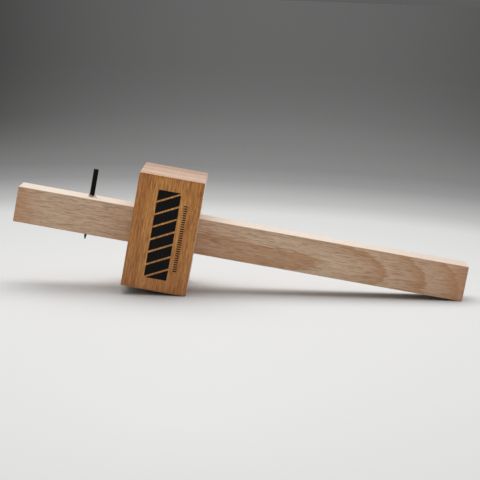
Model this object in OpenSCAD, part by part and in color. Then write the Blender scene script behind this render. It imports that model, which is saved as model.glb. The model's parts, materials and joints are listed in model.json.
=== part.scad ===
// A carpenter's marking gauge: a stock that slides on a square stem, a steel marking pin near the
// stem's front end, and a brass thumbscrew that clamps the stock. It lies at rest, leaning on the
// bottom edge of its stock and on the tail of its stem.

/* [Stem] */
// Length of the stem
stem_len = 240; // [200:1:300]
// Width of each side of the square stem
stem_w = 18.7; // [14:0.1:24]
// Chamfer along the stem's edges
stem_arris = 0.4; // [0.2:0.1:1.5]

/* [Stock] */
// Thickness of the stock along the stem
stock_t = 34.2; // [24:0.1:45]
// Height of the stock, along the pin
stock_h = 60; // [45:1:80]
// Depth of the stock, front to back
stock_d = 50; // [40:1:70]
// Chamfer along the stock's edges
stock_arris = 0.6; // [0.2:0.1:2]
// Distance from the stem's front end to the fence face of the stock
fence_pos = 62; // [50:1:100]
// Gap between the stem and each wall of the mortise
mortise_gap = 0.25; // [0.1:0.05:0.5]

/* [Marking pin] */
// Diameter of the pin
pin_d = 2.6; // [1.5:0.1:4]
// Distance from the stem's front end to the pin
pin_pos = 38; // [15:1:45]
// Length of the pin that stands above the stem
pin_above = 15; // [5:0.5:20]
// Length of the pin that stands below the stem, with its point
pin_below = 4; // [3:0.5:8]
// Full angle of the point
pin_angle = 20; // [18:1:60]
// Diameter of the blunt end of the point
pin_tip_d = 0.6; // [0.2:0.1:1]
// Chamfer round the pin's blunt end
pin_chamfer = 0.25; // [0.1:0.05:0.4]
// Gap between the pin and the wall of its hole
pin_gap = 0.03; // [0.01:0.01:0.1]

/* [Thumbscrew] */
// Diameter of the threaded shank
screw_d = 6; // [4:0.5:8]
// Travel of the screw for each full turn
screw_pitch = 1; // [0.7:0.05:1.5]
// Number of turns that the screw is slackened
slack_turns = 2; // [1:0.5:3]
// Gap between the shank and the bore of the insert
screw_gap = 0.05; // [0.02:0.01:0.1]
// Diameter of the knurled head
head_d = 17; // [12:0.5:24]
// Length of the knurled head
head_len = 8; // [5:0.5:12]
// Number of flutes round the head
knurl_n = 36; // [20:1:48]
// Width of each flute
knurl_w = 0.9; // [0.4:0.1:1.2]
// Diameter of the collar under the head
collar_d = 10.5; // [9:0.5:14]
// Length of the collar under the head
collar_len = 2; // [1:0.5:4]
// Gap between the collar and the back of the stock when the screw is tight
collar_gap = 2.5; // [1:0.5:6]
// Diameter of the spigot at the screw's tip
spigot_d = 3; // [2:0.1:3.4]
// Length of the spigot
spigot_len = 1.2; // [0.8:0.1:1.5]

/* [Threaded insert and pressure pad] */
// Outside diameter of the threaded insert
insert_d = 10; // [9.5:0.5:12]
// Width of the driving slot across the insert
slot_w = 1.2; // [0.8:0.1:1.6]
// Depth of the driving slot
slot_depth = 1.2; // [0.6:0.1:2]
// Thickness of the pressure pad
pad_t = 2.5; // [2.2:0.1:3]
// Gap between the pad and the wall of its pocket
pad_gap = 0.08; // [0.05:0.01:0.1]
// Gap between the pad and the stem when the screw is tight
pad_stem_gap = 0.05; // [0.02:0.01:0.1]
// Gap between the pad and the insert when the screw is slack
pad_insert_gap = 0.3; // [0.1:0.1:1]

/* [Hidden] */
$fn = 96;

// Cuts run this far past the faces that they open.
overcut = 1;
// Chamfer on the brass pieces' outer edges.
brass_chamfer = 0.5;
// Spigot to socket: the gap round it, and the gap at its end.
socket_gap = 0.05;
socket_end_gap = 0.2;
// The screw's shoulder stands this far off the pad.
shoulder_gap = 0.05;
// Depth of the dished face on the thumbscrew's head, and the width of the rim round it.
dish_depth = 0.8;
dish_rim = 2.2;

// Working frame: X along the stem with 0 at the fence face and + towards the tail, Y from front to
// back and Z along the pin, with the stem's axis at Y = 0 and Z = 0.
tail_x = stem_len - fence_pos;
pin_x = pin_pos - fence_pos;
screw_x = stock_t / 2;

// Stations along the screw's axis, with the screw tight.
pad_front_y = stem_w / 2 + pad_stem_gap;
pad_back_y = pad_front_y + pad_t;
shoulder_y = pad_back_y + shoulder_gap;
insert_y = pad_back_y + slack_turns * screw_pitch + pad_insert_gap;
back_y = stock_d / 2;
collar_y = back_y + collar_gap;
head_y = collar_y + collar_len;
head_end_y = head_y + head_len;

// At rest the tool leans until the stock's bottom tail-side edge and the stem's tail both touch down.
lean_rise = (stock_h - stem_w) / 2;
lean_run = (tail_x - stem_arris) - (stock_t - stock_arris);
lean = atan2(lean_rise, lean_run);
function leaned_x(x, z) = x * cos(lean) + z * sin(lean);
function leaned_z(x, z) = z * cos(lean) - x * sin(lean);
front_end = leaned_x(-fence_pos, stem_arris - stem_w / 2);
tail_end = leaned_x(tail_x, stem_w / 2 - stem_arris);
ground = leaned_z(stock_t - stock_arris, -stock_h / 2);

// Places the tool on the ground, with the origin under the middle of its bounding box.
module at_rest() {
    middle_y = (head_end_y - stock_d / 2) / 2;
    translate([-(front_end + tail_end) / 2, -middle_y, -ground])
        rotate([0, lean, 0])
            children();
}

// A rectangle about the origin with its corners cut off at 45 degrees.
module cut_corner_rectangle(a, b, cut) {
    p = a / 2;
    q = b / 2;
    polygon([
        [-p + cut, -q], [p - cut, -q], [p, -q + cut], [p, q - cut],
        [p - cut, q], [-p + cut, q], [-p, q - cut], [-p, -q + cut]
    ]);
}

// A block about the origin with every edge chamfered.
module arrised_block(x, y, z, cut) {
    intersection() {
        linear_extrude(height = z, center = true)
            cut_corner_rectangle(x, y, cut);
        rotate([90, 0, 0])
            linear_extrude(height = y, center = true)
                cut_corner_rectangle(x, z, cut);
        rotate([90, 0, 90])
            linear_extrude(height = x, center = true)
                cut_corner_rectangle(y, z, cut);
    }
}

// Carries a shape drawn along +Z to the screw's axis, so that its Z becomes a station along Y.
module on_screw_axis() {
    translate([screw_x, 0, 0])
        rotate([-90, 0, 0])
            children();
}

// A turned disc from station z0 to z1, with its outer edges chamfered.
module turned_disc(d, z0, z1, cut) {
    r = d / 2;
    rotate_extrude()
        polygon([
            [0, z0], [r - cut, z0], [r, z0 + cut],
            [r, z1 - cut], [r - cut, z1], [0, z1]
        ]);
}

// A plain round hole or rod from station z0 to z1.
module round_bar(d, z0, z1) {
    translate([0, 0, z0])
        cylinder(d = d, h = z1 - z0);
}

// Square beech bar with the pin's hole through it.
module stem() {
    color("burlywood")
        at_rest()
            difference() {
                translate([stem_len / 2 - fence_pos, 0, 0])
                    arrised_block(stem_len, stem_w, stem_w, stem_arris);
                translate([pin_x, 0, 0])
                    round_bar(pin_d + 2 * pin_gap, -stem_w / 2 - overcut, stem_w / 2 + overcut);
            }
}

// Beech block with the stem's mortise, and the hole from its back that takes the insert and the pad.
module stock() {
    mortise_w = stem_w + 2 * mortise_gap;
    color("peru")
        at_rest()
            difference() {
                translate([stock_t / 2, 0, 0])
                    arrised_block(stock_t, stock_d, stock_h, stock_arris);
                translate([stock_t / 2, 0, 0])
                    cube([stock_t + 2 * overcut, mortise_w, mortise_w], center = true);
                on_screw_axis()
                    round_bar(insert_d, 0, back_y + overcut);
            }
}

// Steel pin, blunt with a small chamfer above, and ground to a point with a small flat tip below.
module marking_pin() {
    r = pin_d / 2;
    top = stem_w / 2 + pin_above;
    tip = -stem_w / 2 - pin_below;
    cone = tip + (r - pin_tip_d / 2) / tan(pin_angle / 2);
    color("dimgray")
        at_rest()
            translate([pin_x, 0, 0])
                rotate_extrude()
                    polygon([
                        [0, tip], [pin_tip_d / 2, tip], [r, cone],
                        [r, top - pin_chamfer], [r - pin_chamfer, top], [0, top]
                    ]);
}

// Knurled head with a dished face.
module screw_head() {
    dish_d = head_d - 2 * dish_rim;
    difference() {
        turned_disc(head_d, head_y, head_end_y, brass_chamfer);
        translate([0, 0, head_end_y - dish_depth])
            cylinder(d1 = dish_d - 2 * dish_depth, d2 = dish_d, h = dish_depth);
        for (i = [0 : knurl_n - 1])
            rotate([0, 0, i * 360 / knurl_n])
                translate([head_d / 2, 0, 0])
                    round_bar(knurl_w, head_y - overcut, head_end_y + overcut);
    }
}

// Brass screw: knurled head, collar, shank at the thread's outside diameter, and a spigot at its tip.
module thumbscrew() {
    color("gold")
        at_rest()
            on_screw_axis()
                union() {
                    screw_head();
                    turned_disc(collar_d, collar_y, head_y + brass_chamfer, brass_chamfer);
                    round_bar(screw_d, shoulder_y, collar_y + brass_chamfer);
                    round_bar(spigot_d, shoulder_y - spigot_len, shoulder_y + overcut);
                }
}

// Brass bush, flush with the back of the stock, with a driving slot across its outer end.
module threaded_insert() {
    color("goldenrod")
        at_rest()
            on_screw_axis()
                difference() {
                    round_bar(insert_d, insert_y, back_y);
                    round_bar(screw_d + 2 * screw_gap, insert_y - overcut, back_y + overcut);
                    translate([0, 0, back_y])
                        cube([slot_w, insert_d + overcut, 2 * slot_depth], center = true);
                }
}

// Brass shoe that the screw's spigot turns in.
module pressure_pad() {
    socket_depth = spigot_len + socket_end_gap - shoulder_gap;
    color("darkgoldenrod")
        at_rest()
            on_screw_axis()
                difference() {
                    turned_disc(insert_d - 2 * pad_gap, pad_front_y, pad_back_y, brass_chamfer);
                    round_bar(spigot_d + 2 * socket_gap, pad_back_y - socket_depth, pad_back_y + overcut);
                }
}

stem();
stock();
marking_pin();
thumbscrew();
threaded_insert();
pressure_pad();
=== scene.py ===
import json
import math
import random

import bmesh
import bpy
from mathutils import Matrix, Vector


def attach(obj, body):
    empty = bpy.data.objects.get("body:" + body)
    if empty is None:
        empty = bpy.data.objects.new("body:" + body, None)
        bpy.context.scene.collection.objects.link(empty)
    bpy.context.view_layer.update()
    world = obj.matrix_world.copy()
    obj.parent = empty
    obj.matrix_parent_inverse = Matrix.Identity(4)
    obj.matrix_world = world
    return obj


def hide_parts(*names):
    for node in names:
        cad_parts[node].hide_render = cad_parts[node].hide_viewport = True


# The looks of a marking gauge: a beech stock that slides on a beech stem, with a steel pin and
# brass fittings.

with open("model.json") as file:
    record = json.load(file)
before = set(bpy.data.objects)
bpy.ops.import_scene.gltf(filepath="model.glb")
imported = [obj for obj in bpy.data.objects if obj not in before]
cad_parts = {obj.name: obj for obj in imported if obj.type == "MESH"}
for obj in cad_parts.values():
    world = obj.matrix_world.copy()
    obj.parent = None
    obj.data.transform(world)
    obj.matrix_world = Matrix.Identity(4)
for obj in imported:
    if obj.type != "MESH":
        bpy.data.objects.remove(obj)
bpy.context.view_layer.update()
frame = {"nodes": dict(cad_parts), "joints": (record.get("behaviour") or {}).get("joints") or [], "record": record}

MM = 0.001


# ---------------------------------------------------------------- the tool's own frame
# X runs along the stem from the fence face towards the tail, Y from front to back and Z along the
# marking pin, with the stem's axis at Y = 0 and Z = 0.

def joint(name):
    """The frame's joint of that name."""
    return next(j for j in frame["joints"] if j["name"] == name)


TAIL_WARD = Vector(joint("stem_slide")["axis"])
BACK_WARD = Vector(joint("screw_turn")["axis"])
PIN_WARD = -Vector(joint("pin_drive")["axis"])
TURN = Matrix((TAIL_WARD, BACK_WARD, PIN_WARD)).transposed()


def turned_box(node):
    """Lowest and highest corners of a CAD node along the tool's own directions."""
    points = [TURN.transposed() @ v.co for v in frame["nodes"][node].data.vertices]
    low = Vector([min(p[i] for p in points) for i in range(3)])
    high = Vector([max(p[i] for p in points) for i in range(3)])
    return low, high


def fence_centre():
    """Where the stem's axis meets the fence face, along the tool's own directions."""
    low, high = turned_box("stem")
    middle = (low + high) / 2
    fence, _ = turned_box("stock")
    return Vector((fence.x, middle.y, middle.z))


HOME = fence_centre()
TOOL = Matrix.Translation(TURN @ HOME) @ TURN.to_4x4()


def own_box(node):
    """Lowest and highest corners of a CAD node in the tool's own frame."""
    low, high = turned_box(node)
    return low - HOME, high - HOME


stem_low, stem_high = own_box("stem")
stock_low, stock_high = own_box("stock")
pin_low, pin_high = own_box("marking_pin")
screw_low, screw_high = own_box("thumbscrew")
insert_low, insert_high = own_box("threaded_insert")

pin_middle = (pin_low + pin_high) / 2
screw_middle = (screw_low + screw_high) / 2
pin_radius = (pin_high.x - pin_low.x) / 2
insert_radius = (insert_high.x - insert_low.x) / 2
head_radius = (screw_high.x - screw_low.x) / 2


# ---------------------------------------------------------------- shader graphs

class Graph:
    """A material's nodes, with a short call for each kind of node used here."""

    def __init__(self, name):
        self.material = bpy.data.materials.new(name)
        self.material.use_nodes = True
        self.tree = self.material.node_tree
        self.tree.nodes.clear()
        self.shader = self.add("ShaderNodeBsdfPrincipled")
        output = self.add("ShaderNodeOutputMaterial")
        self.tree.links.new(self.shader.outputs[0], output.inputs["Surface"])

    def add(self, kind, inputs=(), **settings):
        """Makes a node. inputs pairs a socket's name or number with a value or another socket."""
        node = self.tree.nodes.new(kind)
        for key, value in settings.items():
            setattr(node, key, value)
        for key, value in dict(inputs).items():
            self.feed(node.inputs[key], value)
        return node

    def feed(self, socket, value):
        """Links a socket to another, or sets its value."""
        if isinstance(value, bpy.types.NodeSocket):
            self.tree.links.new(value, socket)
        elif value is not None:
            socket.default_value = value

    def math(self, operation, a, b=None):
        """One step of arithmetic."""
        inputs = {0: a} if b is None else {0: a, 1: b}
        return self.add("ShaderNodeMath", inputs, operation=operation).outputs[0]

    def total(self, *terms):
        """The sum of (value, weight) pairs."""
        result, *others = [self.math("MULTIPLY", value, weight) for value, weight in terms]
        for other in others:
            result = self.math("ADD", result, other)
        return result

    def length(self, a, b):
        """The length of a flat vector."""
        squares = self.math("ADD", self.math("MULTIPLY", a, a), self.math("MULTIPLY", b, b))
        return self.math("SQRT", squares)

    def mix(self, factor, a, b):
        """Blends two colours."""
        node = self.add("ShaderNodeMix", data_type="RGBA")
        self.feed(node.inputs[0], factor)
        self.feed(node.inputs[6], a)
        self.feed(node.inputs[7], b)
        return node.outputs[2]

    def tint(self, base, mask, strength, tone):
        """Lays a tone of display values over a colour, at a strength, where a mask is 1."""
        return self.mix(self.math("MULTIPLY", mask, strength), base, colour(*tone))

    def remap(self, value, low, high, to_low=0.0, to_high=1.0, smooth=False):
        """Carries low to to_low and high to to_high, and holds the value past both."""
        kind = "SMOOTHSTEP" if smooth else "LINEAR"
        inputs = {0: value, 1: low, 2: high, 3: to_low, 4: to_high}
        return self.add("ShaderNodeMapRange", inputs, interpolation_type=kind).outputs[0]

    def ramp(self, value, stops):
        """A grey ramp of (place, height) stops."""
        node = self.add("ShaderNodeValToRGB", {0: value})
        points = node.color_ramp.elements
        while len(points) < len(stops):
            points.new(1.0)
        for point, (place, height) in zip(points, stops):
            point.position = place
            point.color = (height, height, height, 1.0)
        return node.outputs[0]

    def millimetres(self, offset=(0, 0, 0)):
        """The piece's own coordinates in millimetres, moved by an offset."""
        place = self.add("ShaderNodeTexCoord").outputs["Object"]
        inputs = {"Vector": place, "Scale": (1 / MM,) * 3, "Location": offset}
        return self.add("ShaderNodeMapping", inputs).outputs[0]

    def moved(self, place, offset):
        """Coordinates moved by an offset."""
        return self.add("ShaderNodeMapping", {"Vector": place, "Location": offset}).outputs[0]

    def noise(self, place, cell, detail=3.0, roughness=0.5):
        """Noise from 0 to 1, with the size of its cell along each axis."""
        inputs = {"Vector": place, "Scale": tuple(1 / size for size in cell)}
        stretched = self.add("ShaderNodeMapping", inputs).outputs[0]
        inputs = {"Vector": stretched, "Scale": 1.0, "Detail": detail, "Roughness": roughness}
        return self.add("ShaderNodeTexNoise", inputs).outputs[0]

    def axes(self, place):
        """The X, Y and Z of coordinates."""
        return self.add("ShaderNodeSeparateXYZ", {0: place}).outputs

    def surface(self, tone, roughness, height, depth, strength=1.0, **sockets):
        """Feeds the shader, with a bump made from a height between 0 and 1."""
        self.feed(self.shader.inputs["Base Color"], tone)
        self.feed(self.shader.inputs["Roughness"], roughness)
        inputs = {"Height": height, "Distance": depth, "Strength": strength}
        self.feed(self.shader.inputs["Normal"], self.add("ShaderNodeBump", inputs).outputs[0])
        for name, value in sockets.items():
            self.shader.inputs[name.replace("_", " ")].default_value = value
        return self.material


def colour(red, green, blue):
    """A linear colour from 0 to 255 display values."""
    def linear(value):
        value /= 255
        return value / 12.92 if value <= 0.04045 else ((value + 0.055) / 1.055) ** 2.4
    return (linear(red), linear(green), linear(blue), 1.0)


# ---------------------------------------------------------------- wood
# Every size of a pattern is in millimetres.

# Tones of a face as display values: pale wood, deep wood, the late wood of a ring, and a ray fleck.
STEM_SIDES = ((228, 200, 172), (210, 178, 146), (188, 138, 94), (150, 104, 70))
STEM_ENDS = ((196, 156, 120), (178, 136, 100), (122, 80, 50), (126, 84, 54))
STOCK_SIDES = ((238, 172, 92), (178, 110, 42), (166, 94, 34), (108, 56, 16))
STOCK_ENDS = ((224, 202, 182), (200, 172, 150), (150, 106, 76), (140, 104, 82))

# Tones laid over parts of a face.
# The stem's top tone is a painted highlight that draws its upper face paler.
STEM_END, STEM_TOP_PAINTED_HIGHLIGHT = (188, 126, 78), (250, 238, 222)
STEM_TAIL, STEM_EDGE = (176, 122, 80), (176, 134, 98)
# The stock's tail-side tone is a painted reflection that draws that face paler.
STOCK_DARK, STOCK_TAIL_SIDE_PAINTED_REFLECTION, STOCK_EDGE = (140, 78, 28), (244, 212, 180), (158, 88, 32)
STOCK_SLOW_YEARS, STOCK_BACK = (160, 112, 80), (146, 104, 80)
TORN_PALE, TORN_BROWN = (252, 240, 224), (196, 120, 62)

# How strongly the flecks and the rings of late wood show, from 0 to 1.
STEM_FLECKS, STOCK_FLECKS = 0.56, 0.66
STOCK_SIDE_RINGS, STOCK_END_RINGS = 0.4, 0.95

# Cells of the noises: length along the grain, and width across it.
FIBRE, THREAD, STREAK = (9, 0.28), (16, 0.9), (70, 4.5)
LONG_DASH, SHORT_DASH, SHORT_DASH_SHIFT = (6.5, 0.38), (3.4, 0.3), (31, 17, 23)
RING_WARP, RING_RAG = (60, 14), (7, 0.7)

# Darkness of the wood across one year's growth.
YEAR = [(0.0, 0.0), (0.4, 0.2), (0.75, 0.6), (0.92, 1.0), (1.0, 0.0)]

# The stem's pith lies in front of the bar. It is straight as far as BEND_START + BEND_HOLD along X.
# Past that it bends away as a parabola in the distance from BEND_START.
STEM_PITH, STEM_RING, STEM_RAGGEDNESS = (-47.6, -3.0), 2.85, 0.45
BEND_START, BEND_HOLD, BEND_SLOPE, BEND_CURVE = 94.2, -18.0, -0.0334, -0.000914

# The stock's figure is moved away from the stem's, and its pith leans off the upright.
STOCK_SHIFT, STOCK_PITH, STOCK_LEAN = (37, 11, 5), (50, 170), 0.012
STOCK_RING, STOCK_RAGGEDNESS = 5.6, 0.16
SLOW_RING, SLOW_RAGGEDNESS = 19.0, 0.08

ALONG_STEM, UPRIGHT = 0, 2


def grain_noise(graph, place, along, cell, detail=3.0, roughness=0.5):
    """Noise that is long along the grain and narrow across it."""
    length, width = cell
    size = [width] * 3
    size[along] = length
    return graph.noise(place, size, detail, roughness)


def growth_rings(graph, place, along, pith, lean, spacing, raggedness):
    """0 to 1 across each year's growth, round a pith that leans away from the grain."""
    warp = grain_noise(graph, place, along, RING_WARP, detail=2.0)
    ragged = grain_noise(graph, place, along, RING_RAG, detail=2.0)
    across = [part for axis, part in enumerate(graph.axes(place)) if axis != along]
    first = graph.math("SUBTRACT", graph.math("SUBTRACT", across[0], pith[0]), lean)
    second = graph.math("SUBTRACT", across[1], pith[1])
    shift = graph.total((warp, 0.5), (ragged, raggedness))
    radius = graph.math("ADD", graph.length(first, second), graph.math("MULTIPLY", shift, spacing))
    return graph.math("FRACT", graph.math("DIVIDE", radius, spacing))


def wood_figure(graph, place, along, tones, rings, ring_share, fleck_share):
    """The colour and the height of beech, and its short dark ray flecks from 0 to 1."""
    pale, deep, late_wood, fleck = tones
    fibre = grain_noise(graph, place, along, FIBRE, roughness=0.65)
    thread = grain_noise(graph, place, along, THREAD, roughness=0.6)
    streak = grain_noise(graph, place, along, STREAK, roughness=0.55)
    depth = graph.total((fibre, 0.4), (streak, 0.25), (thread, 0.35))
    figure = graph.mix(graph.remap(depth, 0.4, 0.6), colour(*pale), colour(*deep))
    figure = graph.tint(figure, graph.ramp(rings, YEAR), ring_share, late_wood)
    long_dash = grain_noise(graph, place, along, LONG_DASH, detail=1.0)
    long_dash = graph.remap(long_dash, 0.52, 0.67, smooth=True)
    elsewhere = graph.moved(place, SHORT_DASH_SHIFT)
    short_dash = grain_noise(graph, elsewhere, along, SHORT_DASH, detail=1.0)
    short_dash = graph.remap(short_dash, 0.54, 0.68, smooth=True)
    dash = graph.math("MAXIMUM", long_dash, graph.math("MULTIPLY", short_dash, 0.7))
    figure = graph.tint(figure, dash, fleck_share, fleck)
    height = graph.math("ADD", graph.total((fibre, 0.6), (dash, -0.5)), 0.5)
    return figure, height, dash


def near_edges(graph, place, low, high, reach):
    """1 along the edges of a block and 0 on its faces."""
    gaps = []
    for axis, part in enumerate(graph.axes(place)):
        middle, half = (low[axis] + high[axis]) / 2, (high[axis] - low[axis]) / 2
        off_middle = graph.math("ABSOLUTE", graph.math("SUBTRACT", part, middle))
        gaps.append(graph.math("SUBTRACT", half, off_middle))
    pairs = [graph.math("MAXIMUM", gaps[i], gaps[(i + 1) % 3]) for i in range(3)]
    nearest = graph.math("MINIMUM", graph.math("MINIMUM", pairs[0], pairs[1]), pairs[2])
    return graph.remap(nearest, 0.1, reach, 1.0, 0.0, smooth=True)


def stem_wood(name, tones):
    """Raw planed beech with its grain along the stem, paler on its upper face from a painted highlight, and darker
    at the ends.
    """
    graph = Graph(name)
    low, high = stem_low / MM, stem_high / MM
    place = graph.millimetres()
    x, _, z = graph.axes(place)
    run = graph.math("MAXIMUM", graph.math("SUBTRACT", x, BEND_START), BEND_HOLD)
    slope = graph.math("ADD", graph.math("MULTIPLY", run, BEND_CURVE), BEND_SLOPE)
    lean = graph.math("MULTIPLY", run, slope)
    rings = growth_rings(graph, place, ALONG_STEM, STEM_PITH, lean, STEM_RING, STEM_RAGGEDNESS)
    ring_share = graph.remap(x, -25, 45, 0.2, 0.85, smooth=True)
    figure, height, dash = wood_figure(
        graph, place, ALONG_STEM, tones, rings, ring_share, STEM_FLECKS)

    front_end = graph.remap(x, low.x + 16, low.x, smooth=True)
    tail_end = graph.remap(x, high.x - 14, high.x, smooth=True)
    figure = graph.tint(figure, graph.math("MAXIMUM", front_end, tail_end), 0.5, STEM_END)
    # A painted highlight: the stem's upper face, and a thin strip of the sides just below it, are drawn paler.
    top_highlight = graph.remap(z, high.z - 0.5, high.z - 0.1, smooth=True)
    figure = graph.tint(figure, top_highlight, 0.5, STEM_TOP_PAINTED_HIGHLIGHT)
    tail_half = graph.remap(x, 95, high.x, smooth=True)
    figure = graph.tint(figure, tail_half, 0.3, STEM_TAIL)
    figure = graph.tint(figure, near_edges(graph, place, low, high, 0.9), 0.3, STEM_EDGE)

    roughness = graph.remap(dash, 0.0, 1.0, 0.52, 0.62)
    return graph.surface(figure, roughness, height, depth=0.06 * MM, strength=0.8,
                         Sheen_Weight=1.0, Sheen_Roughness=0.45)


def stock_rings(graph, place, spacing, raggedness):
    """Growth rings round the stock's pith."""
    lean = graph.math("MULTIPLY", graph.axes(place)[UPRIGHT], STOCK_LEAN)
    return growth_rings(graph, place, UPRIGHT, STOCK_PITH, lean, spacing, raggedness)


def stock_wood(name, tones, ring_share):
    """Darker beech with its grain upright: its graph, colour, roughness and height."""
    graph = Graph(name)
    place = graph.millimetres(STOCK_SHIFT)
    rings = stock_rings(graph, place, STOCK_RING, STOCK_RAGGEDNESS)
    figure, height, dash = wood_figure(
        graph, place, UPRIGHT, tones, rings, ring_share, STOCK_FLECKS)
    roughness = graph.remap(dash, 0.0, 1.0, 0.3, 0.44)
    return graph, figure, roughness, height


def stock_side_wood():
    """Lacquered sides, darker low down and towards the upright edges, and paler on the tail side from a painted
    reflection.
    """
    graph, figure, roughness, height = stock_wood("stock_beech", STOCK_SIDES, STOCK_SIDE_RINGS)
    low, high = stock_low / MM, stock_high / MM
    place = graph.millimetres()
    x, _, z = graph.axes(place)
    foot = graph.remap(z, 8, low.z, smooth=True)
    tail_edge = graph.remap(x, 8, high.x, smooth=True)
    fence_edge = graph.remap(x, 14, low.x, smooth=True)
    darker = graph.total((foot, 0.26), (tail_edge, 0.14), (fence_edge, 0.26))
    figure = graph.tint(figure, darker, 1.0, STOCK_DARK)
    # A painted reflection: the tail side is drawn paler, as grazing light would make it look.
    tail_side_reflection = graph.remap(x, high.x - 0.5, high.x - 0.1, smooth=True)
    figure = graph.tint(figure, tail_side_reflection, 0.32, STOCK_TAIL_SIDE_PAINTED_REFLECTION)
    figure = graph.tint(figure, near_edges(graph, place, low, high, 1.6), 0.4, STOCK_EDGE)
    return graph.surface(figure, roughness, height, depth=0.05 * MM, strength=0.7,
                         Sheen_Weight=0.5, Sheen_Roughness=0.3)


def stock_end_wood():
    """Pale end grain, with broad bands of slow growth, and darker towards the back."""
    graph, figure, roughness, height = stock_wood("stock_end_grain", STOCK_ENDS, STOCK_END_RINGS)
    slow_years = stock_rings(graph, graph.millimetres(STOCK_SHIFT), SLOW_RING, SLOW_RAGGEDNESS)
    slow_years = graph.remap(slow_years, 0.55, 0.95, smooth=True)
    figure = graph.tint(figure, slow_years, 0.55, STOCK_SLOW_YEARS)
    y = graph.axes(graph.millimetres())[1]
    back = graph.remap(y, stock_low.y / MM + 18, stock_high.y / MM - 6, smooth=True)
    figure = graph.tint(figure, back, 0.5, STOCK_BACK)
    return graph.surface(figure, roughness, height, depth=0.06 * MM, strength=0.8)


def torn_wood():
    """Pale fibres, tinged brown in places."""
    graph = Graph("torn_beech")
    fibre = graph.noise(graph.millimetres(), (0.1, 0.1, 0.4), detail=2.0)
    tone = graph.mix(graph.remap(fibre, 0.4, 0.62), colour(*TORN_PALE), colour(*TORN_BROWN))
    return graph.surface(tone, 0.7, fibre, depth=0.03 * MM)


# ---------------------------------------------------------------- ink and metal
# Tones are display values, and every size of a pattern is in millimetres.

INK, THIN_INK = (4, 4, 5), (20, 17, 15)
OXIDE, RUBBED_OXIDE = (5, 5, 6), (16, 15, 14)
BRASS, TARNISH, DARK_SPECK = (216, 186, 120), (166, 128, 74), (110, 78, 40)


def black_ink():
    """Matt black ink, a little thin in places."""
    graph = Graph("black_ink")
    place = graph.millimetres()
    thin = graph.noise(place, (0.4, 0.4, 2.2))
    grain = graph.noise(place, (0.2, 0.2, 0.9), detail=2.0)
    tone = graph.mix(graph.remap(thin, 0.5, 0.75), colour(*INK), colour(*THIN_INK))
    roughness = graph.remap(grain, 0.3, 0.7, 0.5, 0.7)
    return graph.surface(tone, roughness, grain, depth=0.02 * MM, strength=0.6,
                         Specular_IOR_Level=0.18)


def black_steel():
    """Drawn steel with a black oxide skin: faint lengthwise lines and rubbed patches."""
    graph = Graph("black_oxide_steel")
    place = graph.millimetres()
    lines = graph.noise(place, (0.12, 0.12, 9))
    patch = graph.noise(place, (1.2, 1.2, 3))
    tone = graph.mix(graph.remap(patch, 0.35, 0.7), colour(*OXIDE), colour(*RUBBED_OXIDE))
    roughness = graph.remap(lines, 0.3, 0.7, 0.32, 0.5)
    return graph.surface(tone, roughness, lines, depth=0.02 * MM, strength=0.6,
                         Specular_IOR_Level=0.16)


def brass(name, centre):
    """Turned brass: fine rings round an axis along Y through a centre, and patches of tarnish."""
    graph = Graph(name)
    place = graph.millimetres((-centre.x / MM, 0, -centre.z / MM))
    x, y, z = graph.axes(place)
    spiral = graph.math("ADD", graph.length(x, z), graph.math("MULTIPLY", y, 1.3))
    inputs = {"W": graph.math("MULTIPLY", spiral, 9.0), "Scale": 1.0}
    rings = graph.add("ShaderNodeTexNoise", inputs, noise_dimensions="1D").outputs[0]
    tarnish = graph.noise(place, (3.5, 3.5, 3.5), detail=5.0, roughness=0.62)
    speck = graph.noise(place, (0.35, 0.35, 0.35), detail=2.0)
    dulled = graph.remap(tarnish, 0.4, 0.72)
    tone = graph.mix(dulled, colour(*BRASS), colour(*TARNISH))
    tone = graph.tint(tone, graph.remap(speck, 0.62, 0.8), 0.5, DARK_SPECK)
    turned = graph.remap(rings, 0.3, 0.7, 0.2, 0.32)
    roughness = graph.math("ADD", turned, graph.math("MULTIPLY", dulled, 0.14))
    return graph.surface(tone, roughness, rings, depth=0.012 * MM, strength=0.5, Metallic=1.0)


# ---------------------------------------------------------------- mesh work

CUTTER_SEGMENTS = 64
BEVEL_SEGMENTS = 3
SHARP_CORNER = math.radians(40)


def new_object(name, bm, materials=()):
    """An object in the tool's own frame, from a bmesh."""
    mesh = bpy.data.meshes.new(name)
    bm.normal_update()
    bm.to_mesh(mesh)
    bm.free()
    obj = bpy.data.objects.new(name, mesh)
    bpy.context.scene.collection.objects.link(obj)
    for material in materials:
        mesh.materials.append(material)
    obj.matrix_world = TOOL
    return obj


def block(low, high):
    """A plain box."""
    bm = bmesh.new()
    bmesh.ops.create_cube(bm, size=1.0)
    for v in bm.verts:
        v.co = Vector([low[i] if v.co[i] < 0 else high[i] for i in range(3)])
    return bm


def rod(low, high, radius, axis, centre):
    """A plain cylinder along Y, axis 1, or Z, axis 2, used to cut holes."""
    bm = bmesh.new()
    bmesh.ops.create_cone(bm, cap_ends=True, segments=CUTTER_SEGMENTS,
                          radius1=radius, radius2=radius, depth=high - low)
    if axis == 1:
        bmesh.ops.rotate(bm, verts=bm.verts, matrix=Matrix.Rotation(-math.pi / 2, 3, "X"))
    middle = Vector(centre)
    middle[axis] = (low + high) / 2
    bmesh.ops.translate(bm, verts=bm.verts, vec=middle)
    return bm


def cut(obj, cutters):
    """Subtracts shapes from an object's mesh."""
    tools = []
    for i, bm in enumerate(cutters):
        tool = new_object(f"cutter_{i}", bm)
        modifier = obj.modifiers.new(f"cut_{i}", "BOOLEAN")
        modifier.operation = "DIFFERENCE"
        modifier.solver = "EXACT"
        modifier.object = tool
        tools.append(tool)
    bpy.context.view_layer.update()
    shaped = obj.evaluated_get(bpy.context.evaluated_depsgraph_get())
    mesh = bpy.data.meshes.new_from_object(shaped)
    obj.modifiers.clear()
    obj.data = mesh
    for tool in tools:
        bpy.data.objects.remove(tool)


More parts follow.
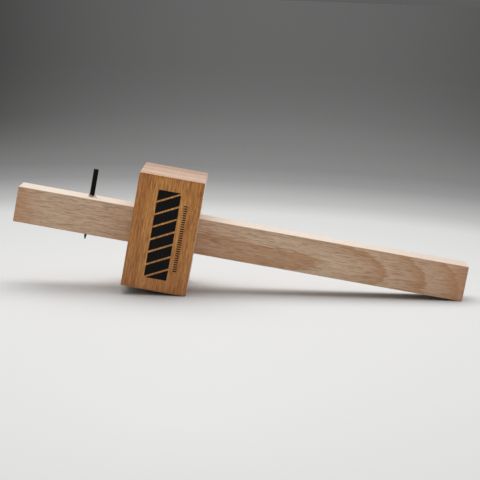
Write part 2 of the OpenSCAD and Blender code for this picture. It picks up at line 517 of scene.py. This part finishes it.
def ease_edges(obj, width):
    """Rounds an object's sharp edges and keeps its faces flat."""
    bevel = obj.modifiers.new("eased_edges", "BEVEL")
    bevel.width = width
    bevel.segments = BEVEL_SEGMENTS
    bevel.limit_method = "ANGLE"
    bevel.angle_limit = SHARP_CORNER
    bevel.use_clamp_overlap = True
    for face in obj.data.polygons:
        face.use_smooth = True
    flat = obj.modifiers.new("flat_faces", "WEIGHTED_NORMAL")
    flat.keep_sharp = True


def end_faces(obj, axis):
    """Gives the second material to the faces that look along an axis."""
    for face in obj.data.polygons:
        face.material_index = 1 if abs(face.normal[axis]) > 0.9 else 0


def settle(obj, body, slot, *nodes):
    """Puts a finished piece on its body, and hides the nodes that it stands for. The slot is not used."""
    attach(obj, body)
    if nodes:
        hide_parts(*nodes)


def lathe(profile, segments, axis, centre, ripple=None):
    """A shape turned about Y, axis 1, or Z, axis 2, from (radius, station) points.

    ripple changes a radius by the point's number and the angle round the axis.
    """
    bm = bmesh.new()
    rings = []
    for k, (radius, station) in enumerate(profile):
        ring = []
        for i in range(segments):
            angle = 2 * math.pi * i / segments
            r = ripple(radius, k, angle) if ripple else radius
            point = Vector(centre)
            point.x += r * math.cos(angle)
            if axis == 2:
                point.y += r * math.sin(angle)
            else:
                point.z -= r * math.sin(angle)
            point[axis] = station
            ring.append(bm.verts.new(point))
        rings.append(ring)
    for lower, upper in zip(rings, rings[1:]):
        for i in range(segments):
            j = (i + 1) % segments
            bm.faces.new((lower[i], lower[j], upper[j], upper[i]))
    bm.faces.new(list(reversed(rings[0])))
    bm.faces.new(rings[-1])
    bmesh.ops.recalc_face_normals(bm, faces=bm.faces)
    return bm


def smooth(obj, angle):
    """Smooth shading that stays crisp at edges sharper than an angle in degrees."""
    for face in obj.data.polygons:
        face.use_smooth = True
    obj.data.set_sharp_from_angle(angle=math.radians(angle))


# ---------------------------------------------------------------- stem and stock

# Cutters run this far past the faces that they open.
PAST = 2 * MM
# Gaps round the pin in its hole, and round the stem in its mortise.
PIN_GAP, MORTISE_GAP = 0.03 * MM, 0.25 * MM
# Width of the rounding along the edges.
STEM_EASING, STOCK_EASING = 0.35 * MM, 0.5 * MM
# The wood of the stock's front stands back by the thickness of the ink on it.
INK_DEPTH = 0.02 * MM


def build_stem():
    """The bar, with the pin's hole right through it."""
    materials = [stem_wood("stem_beech", STEM_SIDES), stem_wood("stem_end_grain", STEM_ENDS)]
    stem = new_object("stem_bar", block(stem_low, stem_high), materials)
    cut(stem, [rod(stem_low.z - PAST, stem_high.z + PAST, pin_radius + PIN_GAP, 2, pin_middle)])
    end_faces(stem, 0)
    ease_edges(stem, STEM_EASING)
    settle(stem, "stem", "stem_wood", "stem")


def build_stock():
    """The block, with its mortise and the hole for the insert."""
    front_low = stock_low + Vector((0, INK_DEPTH, 0))
    materials = [stock_side_wood(), stock_end_wood()]
    stock = new_object("stock_block", block(front_low, stock_high), materials)
    margin = Vector((PAST, MORTISE_GAP, MORTISE_GAP))
    mortise_low = Vector((stock_low.x, stem_low.y, stem_low.z)) - margin
    mortise_high = Vector((stock_high.x, stem_high.y, stem_high.z)) + margin
    insert_hole = rod(0.0, stock_high.y + PAST, insert_radius, 1, screw_middle)
    cut(stock, [block(mortise_low, mortise_high), insert_hole])
    end_faces(stock, 2)
    ease_edges(stock, STOCK_EASING)
    settle(stock, "stock", "stock_wood", "stock")


# ---------------------------------------------------------------- printed marks
# Places are across and up the stock's front, from its lowest corner on the fence side.

HATCH_LEFT, HATCH_RIGHT = 11.1 * MM, 23.0 * MM
HATCH_BOTTOM, HATCH_TOP = 6.5 * MM, 52.7 * MM
HATCH_PITCH, HATCH_GAP, HATCH_RISE = 6.6 * MM, 1.0 * MM, 6.0 * MM
TICK_LEFT, TICK_RIGHT = 25.3 * MM, 27.3 * MM
TICK_BOTTOM, TICK_TOP = 11.8 * MM, 47.2 * MM
TICK_PITCH, TICK_WIDTH = 1.18 * MM, 0.6 * MM


def add_bar(bm, left, right, bottom, rise, thick):
    """One flat bar of ink, higher at its right end by the rise."""
    corners = (
        (left, bottom), (right, bottom + rise),
        (right, bottom + rise + thick), (left, bottom + thick),
    )
    front = stock_low.y + INK_DEPTH
    bm.faces.new([bm.verts.new((stock_low.x + x, front, stock_low.z + z)) for x, z in corners])


def trim_bars(bm, height, direction):
    """Cuts off what lies above a height, or below it if the direction is -1."""
    everything = bm.verts[:] + bm.edges[:] + bm.faces[:]
    bmesh.ops.bisect_plane(bm, geom=everything, plane_co=(0, 0, stock_low.z + height),
                           plane_no=(0, 0, direction), clear_outer=True)


def build_ink():
    """Printed decoration on the front: a slanted hatch, and a column of plain ticks beside it."""
    bm = bmesh.new()
    z = HATCH_BOTTOM - HATCH_RISE
    while z < HATCH_TOP:
        add_bar(bm, HATCH_LEFT, HATCH_RIGHT, z, HATCH_RISE, HATCH_PITCH - HATCH_GAP)
        z += HATCH_PITCH
    trim_bars(bm, HATCH_BOTTOM, -1)
    trim_bars(bm, HATCH_TOP, 1)
    z = TICK_BOTTOM
    while z < TICK_TOP:
        add_bar(bm, TICK_LEFT, TICK_RIGHT, z, 0.0, TICK_WIDTH)
        z += TICK_PITCH
    raised = bmesh.ops.extrude_face_region(bm, geom=bm.faces[:])["geom"]
    bmesh.ops.translate(bm, verts=[v for v in raised if isinstance(v, bmesh.types.BMVert)],
                        vec=(0, -INK_DEPTH, 0))
    bmesh.ops.recalc_face_normals(bm, faces=bm.faces)
    settle(new_object("ink_marks", bm, [black_ink()]), "stock", "stock_wood")


# ---------------------------------------------------------------- marking pin

PIN_SEGMENTS = 48
PIN_TIP_RADIUS, PIN_CHAMFER = 0.3 * MM, 0.25 * MM
POINT_SLOPE = math.tan(math.radians(10))
SPLINTER_SEED, SPLINTERS = 11, 30
SPLINTER_DEPTH = 0.06 * MM


def build_pin():
    """Black pin with a ground point below, and a chamfer round its blunt end above."""
    tip, chamfer = PIN_TIP_RADIUS, PIN_CHAMFER
    cone = (pin_radius - tip) / POINT_SLOPE
    profile = [(tip * 0.8, pin_low.z), (tip, pin_low.z + tip * 0.2)]
    for share in (0.25, 0.5, 0.75, 0.96):
        profile.append((tip + POINT_SLOPE * cone * share, pin_low.z + cone * share))
    profile += [
        (pin_radius, pin_low.z + cone * 1.04),
        (pin_radius, pin_high.z - chamfer),
        (pin_radius - chamfer * 0.3, pin_high.z - chamfer * 0.3),
        (pin_radius - chamfer, pin_high.z),
    ]
    pin = new_object("pin_shaft", lathe(profile, PIN_SEGMENTS, 2, pin_middle), [black_steel()])
    smooth(pin, 35)
    settle(pin, "marking_pin", "black_steel", "marking_pin")


def add_splinter(bm, foot, tip, side):
    """A thin sliver that rises from its foot, a little under the surface, to its tip."""
    under = Vector((0, 0, -SPLINTER_DEPTH))
    middle = (foot + tip) / 2
    ridge = middle + Vector((0, 0, (tip.z - foot.z) * 0.1))
    foot_left = bm.verts.new(foot + side + under)
    foot_right = bm.verts.new(foot - side + under)
    left = bm.verts.new(ridge + side * 0.8)
    right = bm.verts.new(ridge - side * 0.8)
    point = bm.verts.new(tip)
    keel = bm.verts.new(middle + under * 1.5)
    for corners in (
        (foot_left, left, right, foot_right), (left, point, right), (foot_left, keel, left),
        (foot_right, right, keel), (left, keel, point), (right, point, keel),
        (foot_left, foot_right, keel),
    ):
        bm.faces.new(corners)


def build_torn_fibres():
    """Splinters that the driven pin has lifted round its hole, longer along the grain."""
    chance = random.Random(SPLINTER_SEED)
    bm = bmesh.new()
    for i in range(SPLINTERS):
        angle = 2 * math.pi * (i + chance.uniform(-0.35, 0.35)) / SPLINTERS
        along_grain = abs(math.cos(angle))
        start = pin_radius + chance.uniform(0.04, 0.2) * MM
        length = chance.uniform(0.45, 0.9 + 0.9 * along_grain) * MM
        rise = chance.uniform(0.4, 1.1 + 0.6 * along_grain) * MM
        width = chance.uniform(0.12, 0.28) * MM
        out = Vector((math.cos(angle), math.sin(angle), 0))
        hole = Vector((pin_middle.x, pin_middle.y, stem_high.z))
        foot = hole + out * (start + length)
        tip = hole + out * start + Vector((0, 0, rise))
        add_splinter(bm, foot, tip, Vector((-out.y, out.x, 0)) * width)
    bmesh.ops.recalc_face_normals(bm, faces=bm.faces)
    settle(new_object("torn_fibres", bm, [torn_wood()]), "stem", "stem_wood")


# ---------------------------------------------------------------- thumbscrew

HEAD_LENGTH, COLLAR_LENGTH, COLLAR_RADIUS = 8 * MM, 2 * MM, 5.25 * MM
SHANK_RADIUS, SPIGOT_RADIUS, SPIGOT_LENGTH = 3 * MM, 1.5 * MM, 1.2 * MM
SCREW_CHAMFER, SOFTENING = 0.5 * MM, 0.15 * MM
FLUTES, FLUTE_DEPTH, FACETS_PER_FLUTE = 36, 0.42 * MM, 8
RIM_WIDTH, DISH_DEPTH, DISH_MIDDLE = 2.2 * MM, 0.8 * MM, 0.4 * MM
THREAD_DEPTH, STEPS_PER_TURN, SHANK_SEGMENTS, SPIGOT_SEGMENTS = 0.5 * MM, 10, 48, 32

head_end = screw_high.y
head_start = head_end - HEAD_LENGTH
collar_start = head_start - COLLAR_LENGTH
shoulder = screw_low.y + SPIGOT_LENGTH


def knurled_head():
    """The collar, and the head with flutes round it and a dished face."""
    collar, head, rim = COLLAR_RADIUS, head_radius, head_radius - RIM_WIDTH
    chamfer, soft, dish = SCREW_CHAMFER, SOFTENING, DISH_DEPTH
    rows = [
        # radius, station, share of the flutes' depth
        (collar - chamfer, collar_start, 0.0),
        (collar - soft, collar_start + soft, 0.0),
        (collar, collar_start + chamfer, 0.0),
        (collar, head_start - 0.1 * MM, 0.0),
        (collar + 0.1 * MM, head_start, 0.0),
        (head - chamfer, head_start, 0.0),
        (head - soft, head_start + soft, 0.3),
        (head, head_start + chamfer, 1.0),
        (head, head_start + chamfer * 2, 1.0),
        (head, head_end - chamfer * 2, 1.0),
        (head, head_end - chamfer, 1.0),
        (head - soft, head_end - soft, 0.3),
        (head - chamfer, head_end, 0.0),
        (rim, head_end, 0.0),
        (rim - 0.2 * MM, head_end - 0.1 * MM, 0.0),
        (rim - dish, head_end - dish * 0.9, 0.0),
        (rim - dish - 0.3 * MM, head_end - dish, 0.0),
        (DISH_MIDDLE, head_end - dish, 0.0),
    ]

    def flute(radius, k, angle):
        wave = 0.5 + 0.5 * math.cos(FLUTES * angle)
        return radius - rows[k][2] * FLUTE_DEPTH * wave ** 2

    profile = [(radius, station) for radius, station, _ in rows]
    return lathe(profile, FLUTES * FACETS_PER_FLUTE, 1, screw_middle, flute)


def threaded_shank():
    """The shank, with a helix of the joint's pitch that runs out under the collar."""
    pitch = 2 * math.pi * frame["record"]["behaviour"]["couplings"][0]["ratio"]
    count = int((collar_start - shoulder) / pitch * STEPS_PER_TURN)
    thread_end = collar_start - pitch * 0.5
    root = SHANK_RADIUS - THREAD_DEPTH
    profile = [(SHANK_RADIUS, shoulder + (thread_end - shoulder) * k / count) for k in range(count)]
    profile += [(root, collar_start - pitch * 0.2), (root, collar_start + SCREW_CHAMFER)]

    def helix(radius, k, angle):
        if k == 0 or k >= count:
            return radius
        # A V groove, with crests that are flat for a fifth of the pitch.
        phase = (k / STEPS_PER_TURN + angle / (2 * math.pi)) % 1.0
        return radius - THREAD_DEPTH * (1 - min(1.0, 1.25 * abs(2 * phase - 1)))

    return lathe(profile, SHANK_SEGMENTS, 1, screw_middle, helix)


def spigot():
    """The plain end that turns in the pad, run a little way into the shank."""
    chamfer = 0.2 * MM
    profile = [
        (SPIGOT_RADIUS - chamfer, screw_low.y), (SPIGOT_RADIUS, screw_low.y + chamfer),
        (SPIGOT_RADIUS, shoulder), (SPIGOT_RADIUS, shoulder + 0.5 * MM),
    ]
    return lathe(profile, SPIGOT_SEGMENTS, 1, screw_middle)


def build_thumbscrew():
    """Head, shank and spigot as one piece."""
    whole = bmesh.new()
    for part in (knurled_head(), threaded_shank(), spigot()):
        mesh = bpy.data.meshes.new("turned_part")
        part.to_mesh(mesh)
        part.free()
        whole.from_mesh(mesh)
        bpy.data.meshes.remove(mesh)
    screw = new_object("thumbscrew_turned", whole, [brass("thumbscrew_brass", screw_middle)])
    smooth(screw, 30)
    settle(screw, "thumbscrew", "brass", "thumbscrew")


# ---------------------------------------------------------------- all the pieces

def finish_cad_node(node, material):
    """Puts a material on a CAD node whose shape stays."""
    data = frame["nodes"][node].data
    data.materials.clear()
    data.materials.append(material)


build_stem()
build_stock()
build_ink()
build_pin()
build_torn_fibres()
build_thumbscrew()
finish_cad_node("threaded_insert", brass("insert_brass", TOOL @ screw_middle))
finish_cad_node("pressure_pad", brass("pad_brass", TOOL @ screw_middle))


# ---------------------------------------------------------------- floor
# Sizes are in metres. The floor's colour carries a painted pool of light: brightest near the tool, falling away to
# grey behind it.

FLOOR_RADIUS, FLOOR_SEGMENTS = 60.0, 96
# The middle of the painted pool of light, and how much faster it fades sideways than backwards.
BRIGHT_X, BRIGHT_Y, BRIGHT_SQUASH = -0.02, -0.28, 1.6
# The floor's painted brightness at shares of the length over which it fades.
PAINTED_FALLOFF_LENGTH = 2.46
PAINTED_LIGHT_FALLOFF = [
    (0.0, 0.57), (0.13, 0.51), (0.24, 0.42), (0.27, 0.30), (0.325, 0.175),
    (0.37, 0.135), (0.46, 0.125), (0.62, 0.132), (0.80, 0.15), (1.0, 0.16),
]
# Far from the tool painted shade also dims the floor to both sides of a fan that opens from a point in front.
FAN_CENTRE_Y, FAN_MIDDLE, FAN_SPREAD, FAN_PAINTED_SHADE = -0.9, 0.018, 0.028, 0.6
FAR_START, FAR_END = 0.5, 1.5
PAPER_CELL = 0.004
# Linear tones: the painted shade at the floor's far sides, and the specks in the paper.
SIDE_SHADE, PAPER_SPECK = (0.0, 0.0, 0.0, 1.0), (0.5, 0.48, 0.46, 1.0)


def floor_material():
    """Pale paper with a painted pool of light that fades with distance, and painted shade a little more to both
    sides far away.
    """
    graph = Graph("pale_floor")
    place = graph.add("ShaderNodeTexCoord").outputs["Object"]
    x, y, _ = graph.axes(place)
    aside = graph.math("MULTIPLY", graph.math("SUBTRACT", x, BRIGHT_X), BRIGHT_SQUASH)
    distance = graph.length(aside, graph.math("SUBTRACT", y, BRIGHT_Y))
    # The ramp paints light that falls off with distance from the tool.
    shade = graph.ramp(graph.math("DIVIDE", distance, PAINTED_FALLOFF_LENGTH), PAINTED_LIGHT_FALLOFF)
    fan = graph.math("DIVIDE", x, graph.math("SUBTRACT", y, FAN_CENTRE_Y))
    fan = graph.math("SUBTRACT", fan, FAN_MIDDLE)
    painted_side_shade = graph.remap(graph.math("MULTIPLY", fan, fan), 0.0, FAN_SPREAD, 0.0, FAN_PAINTED_SHADE)
    far = graph.remap(distance, FAR_START, FAR_END, smooth=True)
    shade = graph.mix(graph.math("MULTIPLY", painted_side_shade, far), shade, SIDE_SHADE)
    paper = graph.noise(place, (PAPER_CELL,) * 3)
    tone = graph.mix(graph.remap(paper, 0.3, 0.7, 0.0, 0.03), shade, PAPER_SPECK)
    return graph.surface(tone, 0.9, paper, depth=0.02 * MM, strength=0.3, Specular_IOR_Level=0.1)


def build_floor():
    """A wide round floor at the height that the tool rests on."""
    bm = bmesh.new()
    bmesh.ops.create_circle(bm, cap_ends=True, radius=FLOOR_RADIUS, segments=FLOOR_SEGMENTS)
    mesh = bpy.data.meshes.new("floor")
    bm.to_mesh(mesh)
    bm.free()
    mesh.materials.append(floor_material())
    floor = bpy.data.objects.new("floor", mesh)
    bpy.context.scene.collection.objects.link(floor)


# ---------------------------------------------------------------- light and camera

PANEL_PLACE, PANEL_SIZE, PANEL_POWER = Vector((0.0, 0.40, 1.10)), (1.6, 1.15), 18.5
WALL_LIGHT, CEILING_LIGHT, ROOM_TONE = 0.11, 1.02, (1.0, 0.99, 0.98, 1.0)

VIEW_AZIMUTH, VIEW_ELEVATION = math.radians(-0.14), math.radians(8.47)
VIEW_ROLL, VIEW_DISTANCE = math.radians(2.08), 0.874
AIM_HEIGHT, AIM_SIDE = 27.0 * MM, -0.7 * MM
LENS, SENSOR = 123.6, 36.0


def build_panel():
    """A big soft panel above the tool and a little behind it."""
    light = bpy.data.lights.new("overhead_panel", "AREA")
    light.shape = "RECTANGLE"
    light.size, light.size_y = PANEL_SIZE
    light.energy = PANEL_POWER
    panel = bpy.data.objects.new("overhead_panel", light)
    panel.location = PANEL_PLACE
    panel.rotation_euler = (-PANEL_PLACE).to_track_quat("-Z", "Y").to_euler()
    bpy.context.scene.collection.objects.link(panel)


def build_room():
    """Light from all round, brighter from the ceiling than from the walls."""
    world = bpy.data.worlds.new("studio")
    world.use_nodes = True
    tree = world.node_tree
    direction = tree.nodes.new("ShaderNodeTexCoord")
    parts = tree.nodes.new("ShaderNodeSeparateXYZ")
    ceiling = tree.nodes.new("ShaderNodeMapRange")
    ceiling.inputs[3].default_value = WALL_LIGHT
    ceiling.inputs[4].default_value = CEILING_LIGHT
    tree.links.new(direction.outputs["Generated"], parts.inputs[0])
    tree.links.new(parts.outputs[2], ceiling.inputs[0])
    tree.links.new(ceiling.outputs[0], tree.nodes["Background"].inputs[1])
    tree.nodes["Background"].inputs[0].default_value = ROOM_TONE
    bpy.context.scene.world = world


def build_camera():
    """A long lens looking slightly down at the front of the tool."""
    data = bpy.data.cameras.new("camera")
    data.lens = LENS
    data.sensor_width = SENSOR
    camera = bpy.data.objects.new("camera", data)
    bpy.context.scene.collection.objects.link(camera)
    ahead = Vector((math.sin(VIEW_AZIMUTH) * math.cos(VIEW_ELEVATION),
                    math.cos(VIEW_AZIMUTH) * math.cos(VIEW_ELEVATION), -math.sin(VIEW_ELEVATION)))
    aim = Vector((AIM_SIDE, (TOOL @ Vector((0, 0, 0))).y, AIM_HEIGHT))
    roll = Matrix.Rotation(VIEW_ROLL, 4, "Z").to_quaternion()
    camera.rotation_mode = "QUATERNION"
    camera.rotation_quaternion = ahead.to_track_quat("-Z", "Y") @ roll
    camera.location = aim - ahead * VIEW_DISTANCE
    bpy.context.scene.camera = camera


build_floor()
build_panel()
build_room()
build_camera()
bpy.context.scene.view_settings.view_transform = "Standard"
